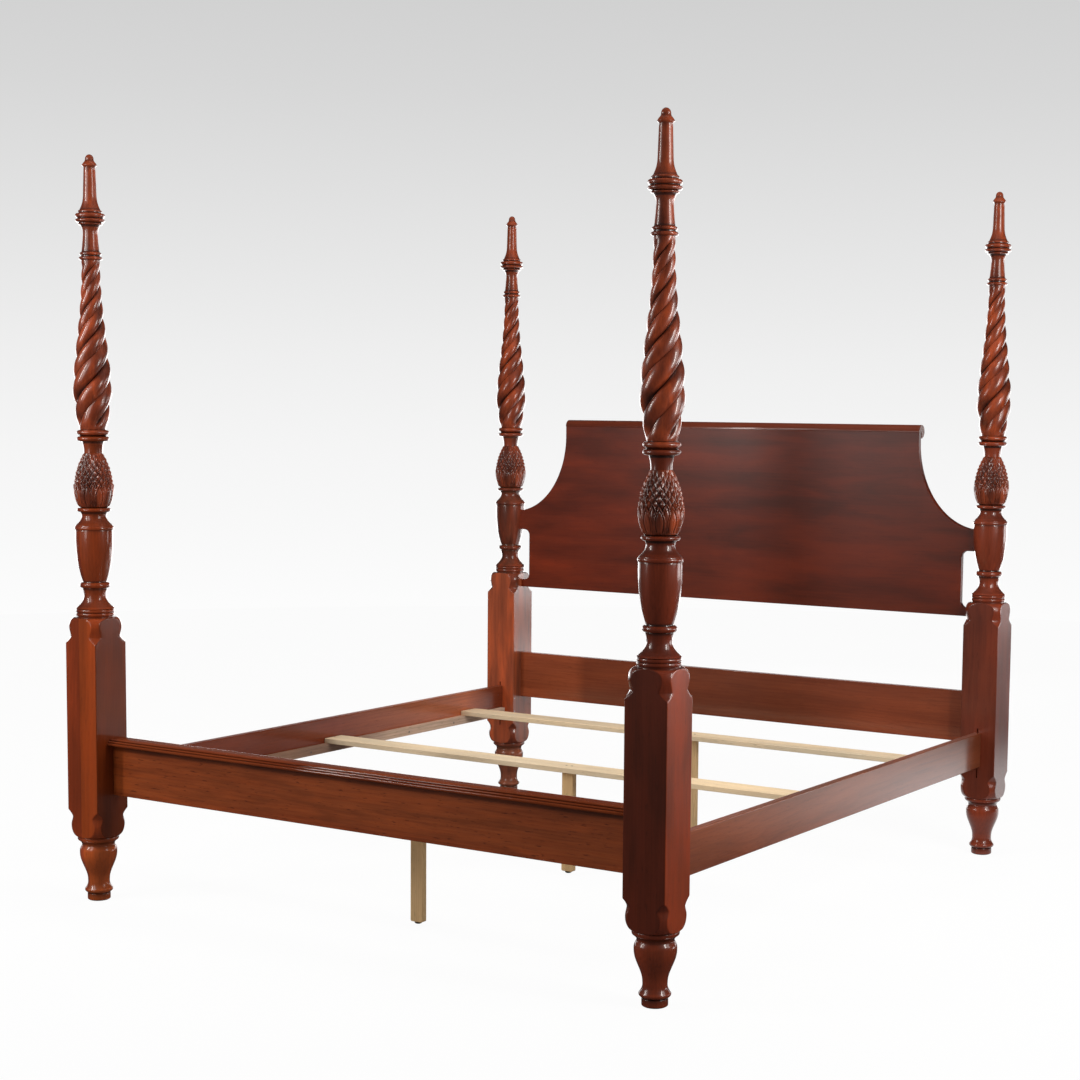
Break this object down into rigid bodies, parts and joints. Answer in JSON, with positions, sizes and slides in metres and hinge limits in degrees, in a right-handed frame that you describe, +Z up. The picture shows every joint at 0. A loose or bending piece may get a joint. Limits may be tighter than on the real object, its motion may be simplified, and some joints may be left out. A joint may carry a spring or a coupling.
{
  "type": "four-poster bed frame",
  "caption": "King four-poster bedstead: rope-twist and pineapple carved posts, shaped headboard with rolled top, low reeded footboard, hooked side rails, slats with centre legs",
  "frame": {"origin": "On the floor, under the middle of the bed's bounding box.", "axes": "+X runs across the bed to the right as seen from its foot, +Y points from the foot to the headboard, +Z is up."},
  "size_m": [2.1164, 2.3094, 2.25],
  "materials": {
    "cherry": "glossy red-brown cherry stain under clear lacquer",
    "headboard_cherry": "darker red-brown cherry boards under clear lacquer, grain across the bed",
    "pine": "bare pale softwood with a few knots",
    "steel": "dull zinc-plated steel hardware",
    "nylon": "dark nylon glide foot"
  },
  "bodies": {
    "bedstead": {"front_left_lower_post": "cherry", "front_left_upper_post": "cherry", "front_left_finial": "cherry", "front_right_lower_post": "cherry", "front_right_upper_post": "cherry", "front_right_finial": "cherry", "head_left_lower_post": "cherry", "head_left_upper_post": "cherry", "head_left_finial": "cherry", "head_right_lower_post": "cherry", "head_right_upper_post": "cherry", "head_right_finial": "cherry", "post_studs": "steel", "headboard_panel": "headboard_cherry", "headboard_roll": "headboard_cherry", "head_rail": "cherry", "footboard": "cherry", "footboard_cap": "cherry", "side_rail_left": "cherry", "side_rail_right": "cherry", "rail_hook_plates": "steel", "hook_plate_rivets": "steel", "post_hook_pins": "steel", "ledger_left": "cherry", "ledger_right": "cherry", "ledger_screws": "steel", "slat_foot": "pine", "slat_middle": "pine", "slat_head": "pine", "slat_screws": "steel", "centre_leg_foot": "pine", "centre_leg_middle": "pine", "centre_leg_head": "pine", "leg_screws": "steel", "glide_bush_foot": "steel", "glide_bush_middle": "steel", "glide_bush_head": "steel"},
    "glide_foot": {"leg_glide_foot": "nylon"},
    "glide_middle": {"leg_glide_middle": "nylon"},
    "glide_head": {"leg_glide_head": "nylon"}
  },
  "joints": [
    {"name": "glide_foot_screw", "type": "slide", "parent": "bedstead", "child": "glide_foot", "axis": [0, 0, -1], "range_m": [0, 0.008]},
    {"name": "glide_middle_screw", "type": "slide", "parent": "bedstead", "child": "glide_middle", "axis": [0, 0, -1], "range_m": [0, 0.008]},
    {"name": "glide_head_screw", "type": "slide", "parent": "bedstead", "child": "glide_head", "axis": [0, 0, -1], "range_m": [0, 0.008]}
  ]
}
